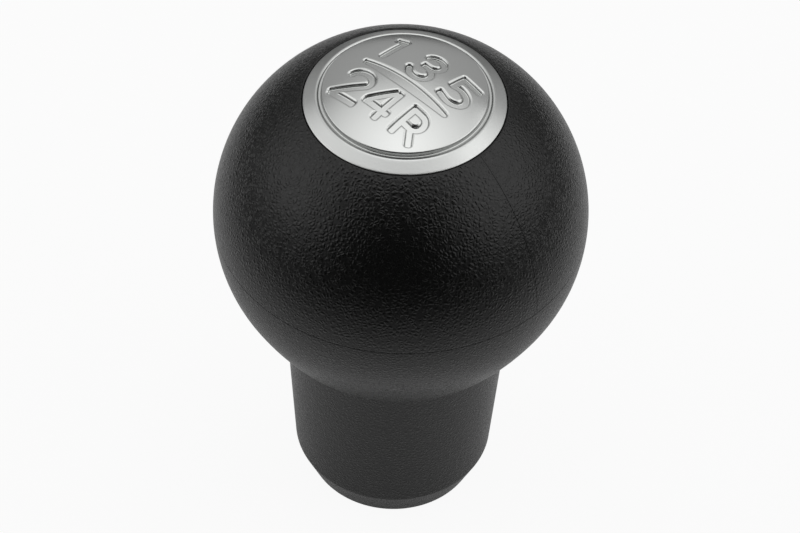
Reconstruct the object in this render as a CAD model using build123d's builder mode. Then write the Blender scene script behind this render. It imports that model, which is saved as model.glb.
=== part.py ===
from build123d import *
from math import radians, sqrt, tan
import os

# Gear shift knob: a ball and neck moulded in one, a shift-pattern cap snapped into the top of the
# ball and a rigid insert in the neck that takes the gear lever.
# Millimetres. +Z runs up along the lever, +Y points to the front of the car and +X to its right.
# The origin is the centre of the foot, which the knob stands on.

# Ball and neck
ball_radius = 26.0
ball_half_height = 25.6
ball_centre_height = 51.7
foot_radius = 12.4
foot_bevel_height = 5.0
neck_foot_radius = 14.45
neck_draft_degrees = 3.55
waist_fillet = 1.2
foot_edge_fillet = 0.5

# Cap: sloping rim, sunk ring and domed field
cap_radius = 13.7
cap_sink = 0.2
cap_edge_height = 1.1
cap_edge_fillet = 0.2
rim_width = 1.85
rim_rise = 1.32
ring_width = 0.8
ring_depth = 0.45
ring_wall_run = 0.12
crest_fillet = 0.15
dome_rise = 2.6
cap_wall = 1.3

# Seat of the cap in the ball
cap_gap = 0.08
lip_fillet = 0.2
ledge_width = 2.1
skirt_depth = 3.2
skirt_wall = 1.2
skirt_gap = 0.1
snap_reach = 0.35
snap_height = 1.0
pocket_clearance = 0.6
key_width = 3.0
key_reach = 1.0

# Divider bar of the shift pattern
bar_length = 15.4
bar_width = 2.05
bar_end_radius = 0.42
bar_depth = 0.38
bar_edge_fillet = 0.08

# Lever insert
lever_radius = 6.0
lever_depth = 38.0
lead_in = 1.0
insert_wall = 3.0
insert_end = 4.0
insert_recess = 1.0
flange_reach = 1.6
flange_thickness = 2.0
head_reach = 2.4
head_thickness = 3.0
rib_count = 6
rib_width = 2.0
rib_reach = 1.4

# Heights and radii that follow from the sizes above
seat_radius = cap_radius + cap_gap
lip_height = ball_centre_height + ball_half_height * sqrt(1 - (seat_radius / ball_radius) ** 2)
rim_height = lip_height - cap_sink
ledge_height = rim_height - cap_edge_height
rim_inner_radius = cap_radius - rim_width
ring_inner_radius = rim_inner_radius - ring_width
crown_height = rim_height + rim_rise + dome_rise
dome_radius = (rim_inner_radius ** 2 + dome_rise ** 2) / (2 * dome_rise)
dome_centre_height = crown_height - dome_radius
skirt_radius = cap_radius - ledge_width
skirt_bottom = ledge_height - skirt_depth
pocket_floor = skirt_bottom - pocket_clearance
neck_length = ball_centre_height - foot_bevel_height
neck_top_radius = neck_foot_radius + neck_length * tan(radians(neck_draft_degrees))
bar_end_x = bar_length / 2 - bar_end_radius
flank_radius = (bar_end_x ** 2 + bar_width ** 2 / 4 - bar_end_radius ** 2) / (bar_width - 2 * bar_end_radius)
touch_x = bar_end_x * flank_radius / (flank_radius - bar_end_radius)
touch_y = bar_end_radius * (flank_radius - bar_width / 2) / (flank_radius - bar_end_radius)
insert_radius = lever_radius + insert_wall
flange_radius = insert_radius + flange_reach
insert_top = insert_recess + lever_depth + insert_end
head_bottom = insert_top - head_thickness


def sphere_height(radius_from_axis, sphere_radius):
    """Height of a sphere about the dome's centre, at a distance from the knob's axis."""
    return dome_centre_height + sqrt(sphere_radius ** 2 - radius_from_axis ** 2)


# Solid form of the lever insert, which the neck is moulded around
with BuildPart() as insert_form:
    with BuildSketch(Plane.XZ) as insert_section:
        with BuildLine():
            Polyline(
                (0, insert_recess),
                (flange_radius, insert_recess),
                (flange_radius, insert_recess + flange_thickness),
                (insert_radius, insert_recess + flange_thickness),
                (insert_radius, head_bottom),
                (insert_radius + head_reach, head_bottom),
                (insert_radius + head_reach, insert_top),
                (0, insert_top),
                close=True,
            )
        make_face()
    revolve(axis=Axis.Z)
    with BuildSketch(Plane.XY.offset(insert_recess)) as rib_section:
        with PolarLocations(insert_radius, rib_count):
            Rectangle(2 * rib_reach, rib_width)
    extrude(amount=lever_depth)

# Lever insert with its blind bore
with BuildPart() as lever_insert:
    add(insert_form.part)
    with BuildSketch(Plane.XZ) as bore_section:
        with BuildLine():
            Polyline(
                (0, insert_recess),
                (lever_radius + lead_in, insert_recess),
                (lever_radius, insert_recess + lead_in),
                (lever_radius, insert_recess + lever_depth),
                (0, insert_recess + lever_depth),
                close=True,
            )
        make_face()
    revolve(axis=Axis.Z, mode=Mode.SUBTRACT)

# Ball and neck, with the stepped pocket for the cap and the seat of the insert
with BuildPart() as knob_body:
    with BuildSketch(Plane.XZ) as body_section:
        with Locations((0, ball_centre_height)):
            Ellipse(ball_radius, ball_half_height)
        with BuildLine():
            Polyline(
                (0, 0),
                (foot_radius, 0),
                (neck_foot_radius, foot_bevel_height),
                (neck_top_radius, ball_centre_height),
                (0, ball_centre_height),
                close=True,
            )
        make_face()
        with Locations((0, ball_centre_height)):
            Rectangle(2 * ball_radius, 4 * ball_radius, align=(Align.MAX, Align.CENTER), mode=Mode.SUBTRACT)
        with Locations((0, ledge_height)):
            Rectangle(seat_radius, ball_radius, align=(Align.MIN, Align.MIN), mode=Mode.SUBTRACT)
        with Locations((0, pocket_floor)):
            Rectangle(skirt_radius + skirt_gap, ball_radius, align=(Align.MIN, Align.MIN), mode=Mode.SUBTRACT)
        with Locations((0, skirt_bottom - skirt_gap)):
            Rectangle(
                skirt_radius + snap_reach + skirt_gap,
                snap_height + 2 * skirt_gap,
                align=(Align.MIN, Align.MIN),
                mode=Mode.SUBTRACT,
            )
        Rectangle(flange_radius, insert_recess, align=(Align.MIN, Align.MIN), mode=Mode.SUBTRACT)
        corners = body_section.vertices()
        lip_corner = corners.sort_by_distance((seat_radius, lip_height))[0]
        waist_limit = ball_centre_height - waist_fillet
        waist_corner = corners.filter_by(lambda v: foot_bevel_height < v.Y < waist_limit)[0]
        foot_corner = corners.sort_by_distance((foot_radius, 0))[0]
        fillet(lip_corner, radius=lip_fillet)
        fillet(waist_corner, radius=waist_fillet)
        fillet(foot_corner, radius=foot_edge_fillet)
    revolve(axis=Axis.Z)
    with BuildSketch(Plane.XY.offset(pocket_floor)) as key_slot:
        with Locations((0, -skirt_radius)):
            Rectangle(key_width + 2 * skirt_gap, 2 * (key_reach + skirt_gap))
    extrude(until=Until.LAST, mode=Mode.SUBTRACT)
    add(insert_form.part, mode=Mode.SUBTRACT)

# Divider bar: a spindle that reaches down to the floor it is sunk to, which follows the dome
with BuildPart() as divider_bar:
    with BuildSketch(Plane.XY.offset(ledge_height)) as spindle:
        with BuildLine():
            ThreePointArc((-touch_x, touch_y), (0, bar_width / 2), (touch_x, touch_y))
            ThreePointArc((touch_x, touch_y), (bar_length / 2, 0), (touch_x, -touch_y))
            ThreePointArc((touch_x, -touch_y), (0, -bar_width / 2), (-touch_x, -touch_y))
            ThreePointArc((-touch_x, -touch_y), (-bar_length / 2, 0), (-touch_x, touch_y))
        make_face()
    extrude(amount=2 * ball_radius)
    with Locations((0, 0, dome_centre_height)):
        Sphere(dome_radius - bar_depth, mode=Mode.SUBTRACT)

# Cap: rim, sunk ring and dome above, snap skirt with a key below
with BuildPart() as shift_cap:
    with BuildSketch(Plane.XZ) as cap_section:
        with BuildLine():
            crown = (0, crown_height)
            field_edge = (ring_inner_radius, sphere_height(ring_inner_radius, dome_radius))
            field_middle = (ring_inner_radius / 2, sphere_height(ring_inner_radius / 2, dome_radius))
            floor_radius = ring_inner_radius + ring_wall_run
            floor_edge_radius = rim_inner_radius - ring_wall_run
            rim_top = (rim_inner_radius, rim_height + rim_rise)
            inner_radius = dome_radius - cap_wall
            skirt_inner_radius = skirt_radius - skirt_wall
            vault_edge = (skirt_inner_radius, sphere_height(skirt_inner_radius, inner_radius))
            vault_middle = (skirt_inner_radius / 2, sphere_height(skirt_inner_radius / 2, inner_radius))
            vault_top = (0, dome_centre_height + inner_radius)
            ThreePointArc(crown, field_middle, field_edge)
            Polyline(
                field_edge,
                (floor_radius, sphere_height(floor_radius, dome_radius) - ring_depth),
                (floor_edge_radius, sphere_height(floor_edge_radius, dome_radius) - ring_depth),
                rim_top,
                (cap_radius, rim_height),
                (cap_radius, ledge_height),
                (skirt_radius, ledge_height),
                (skirt_radius, skirt_bottom + snap_height),
                (skirt_radius + snap_reach, skirt_bottom + snap_height),
                (skirt_radius, skirt_bottom),
                (skirt_inner_radius, skirt_bottom),
                vault_edge,
            )
            ThreePointArc(vault_edge, vault_middle, vault_top)
            Line(vault_top, crown)
        make_face()
        fillet(cap_section.vertices().sort_by_distance((cap_radius, rim_height))[0], radius=cap_edge_fillet)
        fillet(cap_section.vertices().sort_by_distance(rim_top)[0], radius=crest_fillet)
    revolve(axis=Axis.Z)
    with BuildSketch(Plane.XY.offset(skirt_bottom)) as key_section:
        with Locations((0, -skirt_radius)):
            Rectangle(key_width, 2 * key_reach)
    extrude(amount=skirt_depth)
    add(divider_bar.part, mode=Mode.SUBTRACT)
    dome_centre = Vector(0, 0, dome_centre_height)
    bar_edges = shift_cap.edges(Select.LAST)
    on_dome = bar_edges.filter_by(lambda e: (e.center() - dome_centre).length > dome_radius - bar_depth / 2)
    fillet(on_dome, radius=bar_edge_fillet)

knob_body.part.label = "knob_body"
shift_cap.part.label = "shift_cap"
lever_insert.part.label = "lever_insert"

os.makedirs("parts", exist_ok=True)
export_step(knob_body.part, "parts/knob_body.step")
export_step(shift_cap.part, "parts/shift_cap.step")
export_step(lever_insert.part, "parts/lever_insert.step")
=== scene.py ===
from math import acos, atan2, cos, degrees, pi, radians, sin, sqrt, tan

import bpy
import numpy as np
from mathutils import Matrix, Vector, geometry


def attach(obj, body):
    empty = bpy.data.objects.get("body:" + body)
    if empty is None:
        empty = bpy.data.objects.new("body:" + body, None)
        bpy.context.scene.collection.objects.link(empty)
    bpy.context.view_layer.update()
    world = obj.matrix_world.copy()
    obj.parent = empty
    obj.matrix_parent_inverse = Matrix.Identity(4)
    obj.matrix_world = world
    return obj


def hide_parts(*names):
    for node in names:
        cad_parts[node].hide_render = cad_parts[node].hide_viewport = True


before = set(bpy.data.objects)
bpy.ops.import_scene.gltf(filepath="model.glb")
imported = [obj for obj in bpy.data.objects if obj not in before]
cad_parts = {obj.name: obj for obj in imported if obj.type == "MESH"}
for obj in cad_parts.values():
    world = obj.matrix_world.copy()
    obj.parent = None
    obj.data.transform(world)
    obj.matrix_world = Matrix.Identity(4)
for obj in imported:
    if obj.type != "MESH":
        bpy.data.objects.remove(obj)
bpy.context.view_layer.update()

MM = 0.001

# Sizes as in the solids, in millimetres and degrees
BALL_RADIUS = 26.0
BALL_HALF_HEIGHT = 25.6
BALL_CENTRE = 51.7
FOOT_RADIUS = 12.4
FOOT_BEVEL = 5.0
FOOT_FILLET = 0.5
NECK_FOOT_RADIUS = 14.45
NECK_DRAFT = 3.55
CAP_RADIUS = 13.7
CAP_GAP = 0.08
CAP_SINK = 0.2
CAP_EDGE = 1.1
CAP_FILLET = 0.2
CAP_WALL = 1.3
RIM_WIDTH = 1.85
RIM_RISE = 1.32
DOME_RISE = 2.6
LIP_FILLET = 0.2
LEDGE = 2.1
SKIRT_DEPTH = 3.2
SKIRT_WALL = 1.2
SKIRT_GAP = 0.1
POCKET_CLEARANCE = 0.6
INSERT_RADIUS = 9.0
FLANGE_RADIUS = 10.6
FLANGE_TOP = 3.0
HEAD_RADIUS = 11.4
HEAD_BOTTOM = 40.0
HEAD_TOP = 43.0

# Heights and radii that follow from them
SEAT_RADIUS = CAP_RADIUS + CAP_GAP
LIP_HEIGHT = BALL_CENTRE + BALL_HALF_HEIGHT * sqrt(1 - (SEAT_RADIUS / BALL_RADIUS) ** 2)
RIM_HEIGHT = LIP_HEIGHT - CAP_SINK
LEDGE_HEIGHT = RIM_HEIGHT - CAP_EDGE
RIM_INNER = CAP_RADIUS - RIM_WIDTH
CROWN = RIM_HEIGHT + RIM_RISE + DOME_RISE
DOME_RADIUS = (RIM_INNER ** 2 + DOME_RISE ** 2) / (2 * DOME_RISE)
SKIRT_RADIUS = CAP_RADIUS - LEDGE
SKIRT_INNER = SKIRT_RADIUS - SKIRT_WALL
SKIRT_BOTTOM = LEDGE_HEIGHT - SKIRT_DEPTH
POCKET_FLOOR = SKIRT_BOTTOM - POCKET_CLEARANCE

# Finer form of the ball and neck: a ball that grows fuller between two latitudes, and softer edges
FULLNESS = 2.3
FULL_START = -25.0
FULL_END = -52.0
WAIST_FILLET = 0.8
BEVEL_FILLET = 0.6

# Parting lines of the moulding, round the equator and up the sides
EQUATOR_DEPTH = 0.035
EQUATOR_LATITUDES = (0.45, 0.2)
SIDE_DEPTH = 0.05
SIDE_START = 0.4
SIDE_END_RADIUS = SEAT_RADIUS + 0.3
SIDE_ANGLES = (0.12, 0.3, 0.6)
SIDE_TOLERANCE = 0.02

# Mesh of the ball: rows and columns, the degrees of latitude that the rows keep clear of the lip, the
# equator line and the waist, and the steps that give the ball's direction at the lip and the waist
UPPER_ROWS = 78
LOWER_ROWS = 58
HALF_TURN_COLUMNS = 131
LIP_CLEAR = 2.2
EQUATOR_CLEAR = 0.9
WAIST_CLEAR = 3.4
LIP_CHORD = 1.5
WAIST_CHORD = 3.0

# Sunk figures and divider bar: half width and corners of a stroke, the spindle and the walls' section
STROKE = 0.53
CORNER = 0.38
BAR_LENGTH = 15.0
BAR_WIDTH = 1.72
BAR_END = 0.42
BAR_SHIFT = 0.2
BAR_DROP = 0.3
BAR_TURN = 2.0
SINK_DEPTH = 0.48
WALL_TILT = 82.0
EDGE_ROUND = 0.4
FOOT_ROUND = 0.12
WALL_PLACE = 0.1

# Sunk ring of the cap, and the rim outside it
RING_INNER = 11.2
RING_OUTER = 11.62
RING_FLOOR = 0.92
RING_ROUND = 0.2
RING_WALL_RUN = 0.05
RIM_LIFT = 0.05
RIM_TILT = 31.5
CREST_WALL = 70.0
CREST_ROUND = 0.35

# Mesh of the cap: columns and rings, where the field ends, and the lines and spacing of the field's points
CAP_COLUMNS = 480
VAULT_RINGS = 10
VAULT_HUB = 0.4
FIELD_EDGE = RING_INNER - 0.25
EDGE_LINES = 9
FOOT_LINES = 5
LINE_STEP = 0.09
GRID_STEP = 0.4
GRID_OUTSIDE = 0.42
GRID_INSIDE = 0.4
GRID_MARGIN = 0.15
WALL_MARGIN = 0.05
WELD = 1e-5


def dome_height(radius, lower=0.0):
    """Height of the cap's field at a distance from the axis, or of a surface that lies lower by a wall."""
    return CROWN - DOME_RADIUS + np.sqrt((DOME_RADIUS - lower) ** 2 - radius ** 2)


def new_object(name, points, faces, sharp_angle=40):
    """Mesh object from points in millimetres, smooth except at its sharp edges."""
    mesh = bpy.data.meshes.new(name)
    mesh.from_pydata((np.asarray(points) * MM).tolist(), [], faces)
    mesh.validate()
    mesh.shade_smooth()
    mesh.set_sharp_from_angle(angle=radians(sharp_angle))
    obj = bpy.data.objects.new(name, mesh)
    bpy.context.scene.collection.objects.link(obj)
    return obj


def ring_faces(first, second):
    """Quads between two closed rings of as many point numbers."""
    count = len(first)
    return [
        (first[i], first[(i + 1) % count], second[(i + 1) % count], second[i])
        for i in range(count)
    ]


def lathe(profile, angles):
    """Points and faces of a closed solid turned about Z. The profile starts and ends on the axis."""
    points = [(0, 0, profile[0][1])]
    faces = []
    rings = []
    for radius, height in profile[1:-1]:
        rings.append(range(len(points), len(points) + len(angles)))
        points += [(radius * cos(a), radius * sin(a), height) for a in angles]
    points.append((0, 0, profile[-1][1]))
    for first, second in zip(rings, rings[1:]):
        faces += ring_faces(second, first)
    count = len(angles)
    faces += [(0, rings[0][i], rings[0][(i + 1) % count]) for i in range(count)]
    last = len(points) - 1
    faces += [(last, rings[-1][(i + 1) % count], rings[-1][i]) for i in range(count)]
    return np.array(points), faces


def round_corner(before, corner, after, radius, steps):
    """Arc that rounds a corner of a profile between two straight neighbours."""
    p, c, q = (np.array(v, float) for v in (before, corner, after))
    u = (p - c) / np.linalg.norm(p - c)
    v = (q - c) / np.linalg.norm(q - c)
    half = acos(np.clip(u @ v, -1, 1)) / 2
    centre = c + (u + v) / np.linalg.norm(u + v) * radius / sin(half)
    start = c + u * radius / tan(half) - centre
    end = c + v * radius / tan(half) - centre
    a = atan2(start[1], start[0])
    turn = (atan2(end[1], end[0]) - a + pi) % (2 * pi) - pi
    return [tuple(centre + radius * np.array((cos(a + t), sin(a + t)))) for t in np.linspace(0, turn, steps)]


def between(first, last, steps):
    """Points inside a straight line of a profile, which divide it into equal steps."""
    start = np.array(first)
    way = np.array(last) - start
    return [tuple(start + way * t) for t in np.linspace(0, 1, steps + 1)[1:-1]]


def ball_point(latitude):
    """Point of the ball's outline at a parametric latitude in degrees."""
    share = np.clip((FULL_START - latitude) / (FULL_START - FULL_END), 0, 1)
    half_height = BALL_HALF_HEIGHT + FULLNESS * share ** 2 * (3 - 2 * share)
    return (
        BALL_RADIUS * cos(radians(latitude)),
        BALL_CENTRE + half_height * sin(radians(latitude)),
    )


# The waist is where the ball's outline meets the line of the neck, looked for between two latitudes
WAIST_HIGHEST = -40
WAIST_LOWEST = -60
WAIST_TRIES = 2001
neck_slope = tan(radians(NECK_DRAFT))
latitudes = np.linspace(WAIST_HIGHEST, WAIST_LOWEST, WAIST_TRIES)
clear = [r - NECK_FOOT_RADIUS - (z - FOOT_BEVEL) * neck_slope for r, z in map(ball_point, latitudes)]
waist_latitude = latitudes[np.argmin(np.abs(clear))]
waist = ball_point(waist_latitude)
lip = (SEAT_RADIUS, LIP_HEIGHT)
lip_latitude = degrees(acos(SEAT_RADIUS / BALL_RADIUS))
neck_foot = (NECK_FOOT_RADIUS, FOOT_BEVEL)
foot = (FOOT_RADIUS, 0)

# Outline of the ball and neck, from the cap's pocket over the ball and down to the insert's seat
seat_edge = (SEAT_RADIUS, LEDGE_HEIGHT)
lip_arc = round_corner(seat_edge, lip, ball_point(lip_latitude - LIP_CHORD), LIP_FILLET, steps=8)
upper_latitudes = np.linspace(lip_latitude - LIP_CLEAR, EQUATOR_CLEAR, UPPER_ROWS)
upper_ball = [ball_point(a) for a in upper_latitudes]
equator_line = (
    [ball_point(a) for a in EQUATOR_LATITUDES]
    + [(BALL_RADIUS - EQUATOR_DEPTH, BALL_CENTRE)]
    + [ball_point(-a) for a in reversed(EQUATOR_LATITUDES)]
)
lower_latitudes = np.linspace(-EQUATOR_CLEAR, waist_latitude + WAIST_CLEAR, LOWER_ROWS)
lower_ball = [ball_point(a) for a in lower_latitudes]
waist_arc = round_corner(ball_point(waist_latitude + WAIST_CHORD), waist, neck_foot, WAIST_FILLET, steps=8)
bevel_arc = round_corner(waist, neck_foot, foot, BEVEL_FILLET, steps=5)
foot_arc = round_corner(neck_foot, foot, (0, 0), FOOT_FILLET, steps=6)
body_profile = [
    (0, POCKET_FLOOR),
    (SKIRT_RADIUS + SKIRT_GAP, POCKET_FLOOR),
    (SKIRT_RADIUS + SKIRT_GAP, LEDGE_HEIGHT),
    seat_edge,
    *lip_arc,
    *upper_ball,
    *equator_line,
    *lower_ball,
    *waist_arc,
    *between(waist_arc[-1], bevel_arc[0], steps=25),
    *bevel_arc,
    *between(bevel_arc[-1], foot_arc[0], steps=6),
    *foot_arc,
    (FLANGE_RADIUS, 0),
    (FLANGE_RADIUS, FLANGE_TOP),
    (INSERT_RADIUS, FLANGE_TOP),
    (INSERT_RADIUS, HEAD_BOTTOM),
    (HEAD_RADIUS, HEAD_BOTTOM),
    (HEAD_RADIUS, HEAD_TOP),
    (0, HEAD_TOP),
]

# Columns of the lathe lie closer together at the side lines, which run up the ball at +X and -X
near_line = np.radians(SIDE_ANGLES)
spread = np.linspace(0, pi, HALF_TURN_COLUMNS)[2:-2]
half_turn = np.concatenate(([0], near_line, spread, pi - near_line[::-1]))
columns = np.concatenate((half_turn, half_turn + pi))
body_points, body_faces = lathe(body_profile, columns)
on_line = (
    (np.abs(body_points[:, 1]) < SIDE_TOLERANCE)
    & (np.hypot(body_points[:, 0], body_points[:, 1]) > SIDE_END_RADIUS)
    & (body_points[:, 2] > BALL_CENTRE + SIDE_START)
)
body_points[on_line, 0] -= np.sign(body_points[on_line, 0]) * SIDE_DEPTH
knob_body = new_object("ball_and_neck", body_points, body_faces)
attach(knob_body, "root")
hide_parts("knob_body")


def arc(cx, cy, rx, ry, start, end, count=22):
    """Points on an ellipse, angles in degrees."""
    return [(cx + rx * cos(radians(a)), cy + ry * sin(radians(a))) for a in np.linspace(start, end, count)]


# Centre lines of the sunk figures of the shift pattern, in millimetres from the cap's centre
FIGURES = {
    "1": [
        [(-5.94, 1.20), (-5.94, 6.60)],
        [(-7.34, 5.70), (-5.50, 6.25)],
    ],
    "3": [
        arc(0.06, 5.44, 1.42, 1.25, 174, -90) + [(-1.00, 4.19)],
        [(-1.00, 4.19)] + arc(-0.15, 2.85, 1.65, 1.34, 90, -172),
    ],
    "5": [
        [(3.90, 6.74), (7.60, 6.74)],
        [(4.43, 7.27), (4.43, 4.05)],
        [(4.20, 4.48)] + arc(5.72, 3.36, 1.85, 1.48, 125, -110) + [(3.82, 2.26)],
    ],
    "2": [
        arc(-4.75, -3.68, 1.75, 1.27, 182, -25) + [(-7.05, -7.50)],
        [(-7.05, -7.35), (-2.24, -7.35)],
    ],
    "4": [
        [(1.26, -7.48), (1.26, -1.85)],
        [(1.03, -2.06), (-1.72, -5.74)],
        [(-2.07, -5.73), (2.47, -5.73)],
    ],
    "R": [
        [(4.29, -7.33), (4.29, -1.95)],
        [(3.76, -2.46)] + arc(5.62, -3.74, 1.28, 1.28, 90, -90) + [(4.29, -5.02)],
        [(5.80, -4.93), (7.54, -7.12)],
    ],
}


def stroke_distance(x, y, path):
    """Signed distance to a stroke along a path, negative inside, with round bends and squarer ends."""
    nearest = np.full(x.shape, np.inf)
    for i, (a, b) in enumerate(zip(path, path[1:])):
        length = sqrt((b[0] - a[0]) ** 2 + (b[1] - a[1]) ** 2)
        dx = (b[0] - a[0]) / length
        dy = (b[1] - a[1]) / length
        along = (x - a[0]) * dx + (y - a[1]) * dy
        across = np.abs((y - a[1]) * dx - (x - a[0]) * dy)
        past = np.maximum(-along, along - length)
        bend = np.hypot(np.maximum(past, 0), across) - STROKE
        end = past + CORNER
        side = across - STROKE + CORNER
        outer = np.hypot(np.maximum(end, 0), np.maximum(side, 0))
        inner = np.minimum(np.maximum(end, side), 0)
        at_start = (i == 0) & (along < length / 2)
        at_finish = (i == len(path) - 2) & (along >= length / 2)
        nearest = np.minimum(nearest, np.where(at_start | at_finish, outer + inner - CORNER, bend))
    return nearest


def bar_distance(x, y):
    """Signed distance to the divider bar, a spindle of two flat arcs with round tips, negative inside."""
    c = cos(radians(BAR_TURN))
    s = sin(radians(BAR_TURN))
    along = np.abs(c * (x - BAR_SHIFT) + s * (y + BAR_DROP))
    across = np.abs(c * (y + BAR_DROP) - s * (x - BAR_SHIFT))
    tip_x = BAR_LENGTH / 2 - BAR_END
    flank = (tip_x ** 2 + BAR_WIDTH ** 2 / 4 - BAR_END ** 2) / (BAR_WIDTH - 2 * BAR_END)
    flank_centre = flank - BAR_WIDTH / 2
    spine = np.hypot(along, across + flank_centre) - flank
    tip = np.hypot(along - tip_x, across) - BAR_END
    beyond = along * flank_centre > tip_x * (across + flank_centre)
    return np.where(beyond, tip, spine)


def pattern_distance(x, y):
    """Signed distance to the outline of the sunk figures and the divider bar, negative inside."""
    nearest = bar_distance(x, y)
    for strokes in FIGURES.values():
        for path in strokes:
            nearest = np.minimum(nearest, stroke_distance(x, y, path))
    return nearest


# Section of a sunk wall, from outside the outline inwards: rounded edge, steep straight part, rounded foot
WALL_SLOPE = tan(radians(WALL_TILT))
EDGE_RUN = EDGE_ROUND * sin(radians(WALL_TILT))
FOOT_RUN = FOOT_ROUND * sin(radians(WALL_TILT))
EDGE_FALL = EDGE_ROUND * (1 - cos(radians(WALL_TILT)))
FOOT_FALL = FOOT_ROUND * (1 - cos(radians(WALL_TILT)))
WALL_RUN = (SINK_DEPTH - EDGE_FALL - FOOT_FALL) / WALL_SLOPE
WALL_START = WALL_PLACE - EDGE_RUN
WALL_END = EDGE_RUN + WALL_RUN + FOOT_RUN


def sunk(inward):
    """Depth of the sunk pattern at a distance inside its outline."""
    along = inward - WALL_START
    to_foot = np.clip(WALL_END - along, 0, FOOT_RUN)
    edge = EDGE_ROUND - np.sqrt(EDGE_ROUND ** 2 - np.clip(along, 0, EDGE_RUN) ** 2)
    wall = np.clip(along - EDGE_RUN, 0, WALL_RUN) * WALL_SLOPE
    foot = FOOT_FALL - FOOT_ROUND + np.sqrt(FOOT_ROUND ** 2 - to_foot ** 2)
    return edge + wall + foot


def settle(x, y, level):
    """Moves points onto the line that lies at a signed distance from the pattern's outline."""
    probe = 0.005
    rounds = 4
    for _ in range(rounds):
        away = pattern_distance(x, y) - level
        slope_x = (pattern_distance(x + probe, y) - pattern_distance(x - probe, y)) / (2 * probe)
        slope_y = (pattern_distance(x, y + probe) - pattern_distance(x, y - probe)) / (2 * probe)
        x = x - away * slope_x
        y = y - away * slope_y
    return x, y


def outline(level, cell, reach):
    """Points and edges along the line at a signed distance from the outline, about a cell apart."""
    ticks = np.arange(-reach, reach + cell, cell)
    gx, gy = np.meshgrid(ticks, ticks)
    inside = pattern_distance(gx, gy) < level
    corners = inside[:-1, :-1].astype(int) + inside[1:, :-1] + inside[:-1, 1:] + inside[1:, 1:]
    crossed = (corners > 0) & (corners < 4)
    number = np.cumsum(crossed).reshape(crossed.shape) - 1
    x, y = settle(gx[:-1, :-1][crossed] + cell / 2, gy[:-1, :-1][crossed] + cell / 2, level)
    row, column = np.nonzero(inside[1:-1, 1:] != inside[1:-1, :-1])
    edges = list(zip(number[row, column], number[row + 1, column]))
    row, column = np.nonzero(inside[1:, 1:-1] != inside[:-1, 1:-1])
    edges += list(zip(number[row, column], number[row, column + 1]))
    return np.column_stack([x, y]), edges


# Plan of the cap's field: lines along the pattern's walls, a loose grid between them and a border circle
edge_lines = [EDGE_ROUND * sin(radians(a)) for a in np.linspace(0, WALL_TILT, EDGE_LINES)]
foot_lines = [WALL_END - FOOT_ROUND * sin(radians(a)) for a in np.linspace(WALL_TILT, 0, FOOT_LINES)]
plan = []
plan_edges = []
for line in [-WALL_MARGIN] + edge_lines + foot_lines + [WALL_END + WALL_MARGIN]:
    points, edges = outline(-(WALL_START + line), LINE_STEP, BAR_LENGTH)
    plan_edges += [(int(a) + len(plan), int(b) + len(plan)) for a, b in edges]
    plan += points.tolist()
ticks = np.arange(-FIELD_EDGE, FIELD_EDGE, GRID_STEP)
gx, gy = (v.ravel() for v in np.meshgrid(ticks, ticks))
nearest = pattern_distance(gx, gy)
clear_of_walls = (nearest > GRID_OUTSIDE) | (nearest < -GRID_INSIDE)
spare = clear_of_walls & (np.hypot(gx, gy) < FIELD_EDGE - GRID_MARGIN)
plan += np.column_stack([gx, gy])[spare].tolist()
turns = np.linspace(0, 2 * pi, CAP_COLUMNS, endpoint=False)
plan_edges += [(len(plan) + i, len(plan) + (i + 1) % CAP_COLUMNS) for i in range(CAP_COLUMNS)]
plan += [(FIELD_EDGE * cos(a), FIELD_EDGE * sin(a)) for a in turns]

# Field of the cap: a triangle mesh of that plan, laid on the dome and sunk along the pattern
drawn = geometry.delaunay_2d_cdt([Vector(p) for p in plan], plan_edges, [], 0, WELD)
fx, fy = np.array([p[:] for p in drawn[0]]).T
fz = dome_height(np.hypot(fx, fy)) - sunk(-pattern_distance(fx, fy))
cap_points = np.column_stack([fx, fy, fz]).tolist()
cap_faces = [tuple(f) for f in drawn[2]]
on_border = np.nonzero(np.hypot(fx, fy) > FIELD_EDGE - 10 * WELD)[0]
border_turns = np.arctan2(fy[on_border], fx[on_border]) % (2 * pi)
previous = on_border[np.argsort(border_turns)].tolist()

# Around the field: a steep wall down to the sunk ring's narrow floor, a rounded crest that runs out into the
# sloping rim, the rim's edge, and the hidden skirt and vault
climb = tan(radians(CREST_WALL))
fall = tan(radians(RIM_TILT))
crest_radius = (RIM_LIFT + fall * CAP_RADIUS + climb * RING_OUTER - RING_FLOOR) / (climb + fall)
crest = (crest_radius, RIM_HEIGHT + RIM_LIFT + fall * (CAP_RADIUS - crest_radius))
rim_edge = (CAP_RADIUS, RIM_HEIGHT + RIM_LIFT)
field_end = (FIELD_EDGE, dome_height(FIELD_EDGE))
field_corner = (RING_INNER, dome_height(RING_INNER))
floor_start = (RING_INNER + RING_WALL_RUN, RIM_HEIGHT + RING_FLOOR)
floor_end = (RING_OUTER, RIM_HEIGHT + RING_FLOOR)
rim_arc = round_corner(crest, rim_edge, (CAP_RADIUS, LEDGE_HEIGHT), CAP_FILLET, steps=6)
crest_arc = round_corner(floor_end, crest, rim_arc[0], CREST_ROUND, steps=12)
cap_profile = [
    *round_corner(field_end, field_corner, floor_start, RING_ROUND, steps=8),
    *round_corner(field_corner, floor_start, floor_end, FOOT_ROUND, steps=6),
    *round_corner(floor_start, floor_end, crest, FOOT_ROUND, steps=6),
    *crest_arc,
    *between(crest_arc[-1], rim_arc[0], steps=8),
    *rim_arc,
    (CAP_RADIUS, LEDGE_HEIGHT),
    (SKIRT_RADIUS, LEDGE_HEIGHT),
    (SKIRT_RADIUS, SKIRT_BOTTOM),
    (SKIRT_INNER, SKIRT_BOTTOM),
    *[(r, dome_height(r, CAP_WALL)) for r in np.linspace(SKIRT_INNER, VAULT_HUB, VAULT_RINGS)],
]
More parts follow.
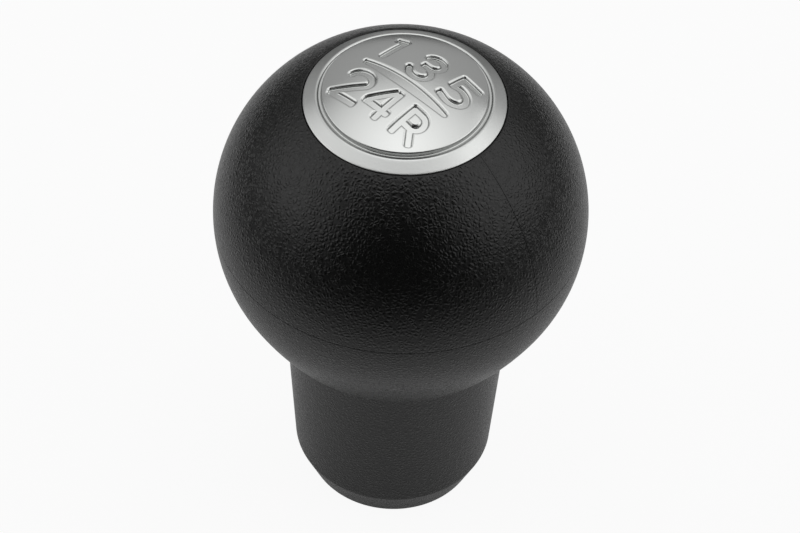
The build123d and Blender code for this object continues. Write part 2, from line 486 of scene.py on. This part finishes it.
for r, z in cap_profile:
    ring = list(range(len(cap_points), len(cap_points) + CAP_COLUMNS))
    cap_points += [(r * cos(a), r * sin(a), z) for a in turns]
    cap_faces += ring_faces(ring, previous)
    previous = ring
hub = len(cap_points)
cap_points.append((0, 0, dome_height(0, CAP_WALL)))
cap_faces += [(previous[i], hub, previous[(i + 1) % CAP_COLUMNS]) for i in range(CAP_COLUMNS)]
shift_cap = new_object("shift_pattern_cap", cap_points, cap_faces, sharp_angle=80)
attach(shift_cap, "root")
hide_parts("shift_cap")


def material(name):
    """New node material, its node tree and its shader node."""
    made = bpy.data.materials.new(name)
    made.use_nodes = True
    return made, made.node_tree, made.node_tree.nodes["Principled BSDF"]


def feed(tree, socket, value):
    """Links another node's output to a socket, or sets the socket's own value."""
    if isinstance(value, bpy.types.NodeSocket):
        tree.links.new(value, socket)
    else:
        socket.default_value = value


def add(tree, kind, **sockets):
    """New node, with its input sockets fed by name."""
    made = tree.nodes.new(kind)
    for key, value in sockets.items():
        feed(tree, made.inputs[key], value)
    return made


def add_math(tree, operation, first, second):
    """Output of a math node."""
    made = tree.nodes.new("ShaderNodeMath")
    made.operation = operation
    feed(tree, made.inputs[0], first)
    feed(tree, made.inputs[1], second)
    return made.outputs["Value"]


def add_vector(tree, operation, *vectors):
    """Outputs of a vector math node."""
    made = tree.nodes.new("ShaderNodeVectorMath")
    made.operation = operation
    for socket, value in zip(made.inputs, vectors):
        feed(tree, socket, value)
    return made.outputs


def add_range(tree, value, source=(0.0, 1.0), target=(0.0, 1.0), smooth=False):
    """Output of a node that carries a value from one range over to another."""
    made = add(tree, "ShaderNodeMapRange", Value=value)
    made.interpolation_type = "SMOOTHSTEP" if smooth else "LINEAR"
    for key, limit in zip(("From Min", "From Max", "To Min", "To Max"), (*source, *target)):
        made.inputs[key].default_value = limit
    return made.outputs["Result"]


def add_ramp(tree, factor, low, high, start=0.0, end=1.0):
    """Colour output of a ramp between two colours, from a start to an end of the factor."""
    made = add(tree, "ShaderNodeValToRGB", Fac=factor)
    first, last = made.color_ramp.elements
    first.position = start
    first.color = (*low, 1)
    last.position = end
    last.color = (*high, 1)
    return made.outputs["Color"]


# Grip: black moulding with a leather grain, strongest on the upper ball, worn smoother on the pebbles' tops
grip, tree, shader = material("grained_grip")
place = tree.nodes.new("ShaderNodeTexCoord").outputs["Object"]
warp = add(tree, "ShaderNodeTexNoise", Vector=place, Scale=800.0, Detail=1.0)
warp_reach = (0.0006, 0.0006, 0.0006)
warped = add_vector(tree, "MULTIPLY_ADD", warp.outputs["Color"], warp_reach, place)["Vector"]
cells = add(tree, "ShaderNodeTexVoronoi", Vector=warped, Scale=1750.0)
cells.feature = "DISTANCE_TO_EDGE"
pebble = add_range(tree, cells.outputs["Distance"], source=(0.0, 0.4), smooth=True)
level = add(tree, "ShaderNodeSeparateXYZ", Vector=place).outputs["Z"]
upper = add_range(tree, level, source=(0.046, 0.06), target=(0.9, 1.0), smooth=True)
folds = add(tree, "ShaderNodeTexNoise", Vector=place, Scale=1500.0, Detail=1.0)
sand = add(tree, "ShaderNodeTexNoise", Vector=place, Scale=5200.0, Detail=2.0)
grain = add_math(tree, "MULTIPLY", pebble, upper)
for noise, weight in ((folds, 0.5), (sand, 0.55)):
    grain = add_math(tree, "ADD", grain, add_math(tree, "MULTIPLY", noise.outputs["Fac"], weight))
bump = add(tree, "ShaderNodeBump", Height=grain, Strength=1.0, Distance=0.000042)
feed(tree, shader.inputs["Normal"], bump.outputs["Normal"])
tops = add_ramp(tree, pebble, (0.0025, 0.0026, 0.0024), (0.0034, 0.0035, 0.0032))
feed(tree, shader.inputs["Base Color"], tops)
feed(tree, shader.inputs["Roughness"], add_range(tree, pebble, target=(0.32, 0.21)))
knob_body.data.materials.append(grip)

# Cap: satin silver with a fine blasted surface, with painted shade that darkens its steep walls, and duller
# on the rim
silver, tree, shader = material("satin_silver")
shader.inputs["Metallic"].default_value = 1.0
texture_place = tree.nodes.new("ShaderNodeTexCoord").outputs
lean = add(tree, "ShaderNodeSeparateXYZ", Vector=texture_place["Normal"]).outputs["Z"]
# Painted shade: the silver's colour falls from 0.75 on flat faces to 0.38 where the surface is steep, on the
# walls of the sunk figures, bar and ring
painted_wall_shade = add_ramp(tree, lean, (0.38, 0.386, 0.38), (0.75, 0.762, 0.748), start=0.4, end=0.7)
feed(tree, shader.inputs["Base Color"], painted_wall_shade)
blast = add(tree, "ShaderNodeTexNoise", Vector=texture_place["Object"], Scale=4200.0, Detail=2.0)
gloss = add_range(tree, blast.outputs["Fac"], target=(0.16, 0.28))
in_plan = add_vector(tree, "MULTIPLY", texture_place["Object"], (1, 1, 0))["Vector"]
from_axis = add_vector(tree, "LENGTH", in_plan)["Value"]
on_rim = add_range(tree, from_axis, source=(0.0119, 0.0121), target=(0.0, 0.12))
feed(tree, shader.inputs["Roughness"], add_math(tree, "ADD", gloss, on_rim))
bump = add(tree, "ShaderNodeBump", Height=blast.outputs["Fac"], Strength=1.0, Distance=0.000005)
feed(tree, shader.inputs["Normal"], bump.outputs["Normal"])
shift_cap.data.materials.append(silver)

# Insert: dark filled nylon, mottled where the fibres lie near the surface
nylon, tree, shader = material("insert_nylon")
place = tree.nodes.new("ShaderNodeTexCoord").outputs["Object"]
flow = add(tree, "ShaderNodeTexNoise", Vector=place, Scale=420.0, Detail=3.0, Distortion=0.6)
tint = add_ramp(tree, flow.outputs["Fac"], (0.022, 0.022, 0.024), (0.04, 0.04, 0.042), start=0.35, end=0.65)
feed(tree, shader.inputs["Base Color"], tint)
fibres = add(tree, "ShaderNodeTexNoise", Vector=place, Scale=2600.0, Detail=2.0)
feed(tree, shader.inputs["Roughness"], add_range(tree, fibres.outputs["Fac"], target=(0.38, 0.62)))
bump = add(tree, "ShaderNodeBump", Height=fibres.outputs["Fac"], Strength=1.0, Distance=0.00002)
feed(tree, shader.inputs["Normal"], bump.outputs["Normal"])
lever_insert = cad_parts["lever_insert"]
lever_insert.data.materials.clear()
lever_insert.data.materials.append(nylon)

# Camera at the photograph's angle, with a slight roll: degrees, and distances from the ball in ball radii
AZIMUTH = 43.5
ELEVATION = 48.09
ROLL = 2.196
LENS = 143.5
CAMERA_DISTANCE = 17.0
CAMERA_DROP = 0.2984
CAMERA_LEFT = 0.0042
NEAR_CLIP = 0.01


def direction(azimuth, elevation):
    """Unit vector from the ball, with the azimuth counted from the car's rear to its right, in degrees."""
    a = radians(azimuth)
    e = radians(elevation)
    return Vector((sin(a) * cos(e), -cos(a) * cos(e), sin(e)))


ball_centre = Vector((0, 0, BALL_CENTRE * MM))
to_camera = direction(AZIMUTH, ELEVATION)
level_right = direction(AZIMUTH + 90, 0)
level_up = to_camera.cross(level_right)
right = cos(radians(ROLL)) * level_right + sin(radians(ROLL)) * level_up
up = cos(radians(ROLL)) * level_up - sin(radians(ROLL)) * level_right
from_ball = CAMERA_DISTANCE * to_camera - CAMERA_DROP * up - CAMERA_LEFT * right
camera = bpy.data.objects.new("camera", bpy.data.cameras.new("camera"))
camera.data.lens = LENS
camera.data.clip_start = NEAR_CLIP
turn = Matrix((right, up, to_camera)).transposed().to_4x4()
camera.matrix_world = Matrix.Translation(ball_centre + from_ball * BALL_RADIUS * MM) @ turn
bpy.context.scene.collection.objects.link(camera)
bpy.context.scene.camera = camera


def softbox(name, azimuth, elevation, distance, width, length, brightness, spread):
    """Soft light that faces the ball, brightest straight ahead and fading over the spread."""
    data = bpy.data.lights.new(name, "AREA")
    data.shape = "RECTANGLE"
    data.size = width
    data.size_y = length
    data.spread = radians(spread)
    half = radians(spread / 2)
    data.energy = brightness * pi * width * length * (1 - half / tan(half))
    light = bpy.data.objects.new(name, data)
    way = direction(azimuth, elevation)
    light.location = ball_centre + way * distance
    light.rotation_euler = way.to_track_quat("Z", "Y").to_euler()
    bpy.context.scene.collection.objects.link(light)
    return light


# Lights, in metres and degrees: a large one overhead, set back, one on each side and a weak one at the rear
TOP_SET_BACK = 0.37
BEHIND = AZIMUTH + 180
top = softbox(
    "top_softbox", BEHIND, 90, distance=1.0, width=2.1, length=1.65, brightness=1.2, spread=124
)
top.rotation_euler = (0, 0, radians(AZIMUTH))
top.location += direction(BEHIND, 0) * TOP_SET_BACK
softbox(
    "left_softbox", AZIMUTH - 86, 24, distance=1.2, width=1.9, length=0.95, brightness=1.18, spread=110
)
softbox(
    "right_softbox", AZIMUTH + 86, 27, distance=1.2, width=2.0, length=1.15, brightness=1.18, spread=110
)
softbox("rear_softbox", BEHIND, 22, distance=1.5, width=3.0, length=1.0, brightness=0.36, spread=150)

world = bpy.data.worlds.new("studio")
world.use_nodes = True
world.node_tree.nodes["Background"].inputs["Color"].default_value = (0.03, 0.03, 0.03, 1)
bpy.context.scene.world = world

# Floor: painted light, a pool of pale colour around the knob that turns dark further off and glows faintly
# in mirrored rays; the camera sees it as nearly white with a faint shadow
FLOOR_REACH = 4000.0
PAINTED_POOL_SET_BACK = 0.06
PAINTED_POOL_START = 0.28
PAINTED_POOL_FULL = 0.08
MIRRORED_SHARE = 0.17
SEEN_SHARE = 0.93
floor_corners = [(x * FLOOR_REACH, y * FLOOR_REACH, 0) for x, y in ((-1, -1), (1, -1), (1, 1), (-1, 1))]
floor = new_object("floor", floor_corners, [(0, 1, 2, 3)])
painted_pool_floor, tree, shader = material("floor_with_painted_light_pool")
shader.inputs["Roughness"].default_value = 0.9
spot = tree.nodes.new("ShaderNodeTexCoord").outputs["Object"]
# Painted pool of light, centred a little behind the knob: it makes the floor's colour pale near the knob and
# dark far off, and sets its glow in reflections
away = add_vector(tree, "DISTANCE", spot, direction(BEHIND, 0) * PAINTED_POOL_SET_BACK)["Value"]
painted_light_pool = add_range(tree, away, source=(PAINTED_POOL_FULL, PAINTED_POOL_START), target=(1.0, 0.0), smooth=True)
feed(tree, shader.inputs["Base Color"], add_ramp(tree, painted_light_pool, (0.1, 0.1, 0.1), (0.78, 0.78, 0.78)))
rays = tree.nodes.new("ShaderNodeLightPath").outputs
mirrored = add_math(tree, "MAXIMUM", rays["Is Glossy Ray"], rays["Is Transmission Ray"])
# Painted light: mirrored rays see the pool as a weak glow
mirrored_share = add_math(tree, "MULTIPLY", add_math(tree, "MULTIPLY", mirrored, painted_light_pool), MIRRORED_SHARE)
share = add_math(tree, "MAXIMUM", mirrored_share, rays["Is Camera Ray"])
glow = add(tree, "ShaderNodeEmission", Strength=1.0)
blend = tree.nodes.new("ShaderNodeMixShader")
feed(tree, blend.inputs[0], add_math(tree, "MULTIPLY", share, SEEN_SHARE))
feed(tree, blend.inputs[1], shader.outputs["BSDF"])
feed(tree, blend.inputs[2], glow.outputs["Emission"])
feed(tree, tree.nodes["Material Output"].inputs["Surface"], blend.outputs["Shader"])
floor.data.materials.append(painted_pool_floor)

bpy.context.scene.view_settings.view_transform = "Standard"
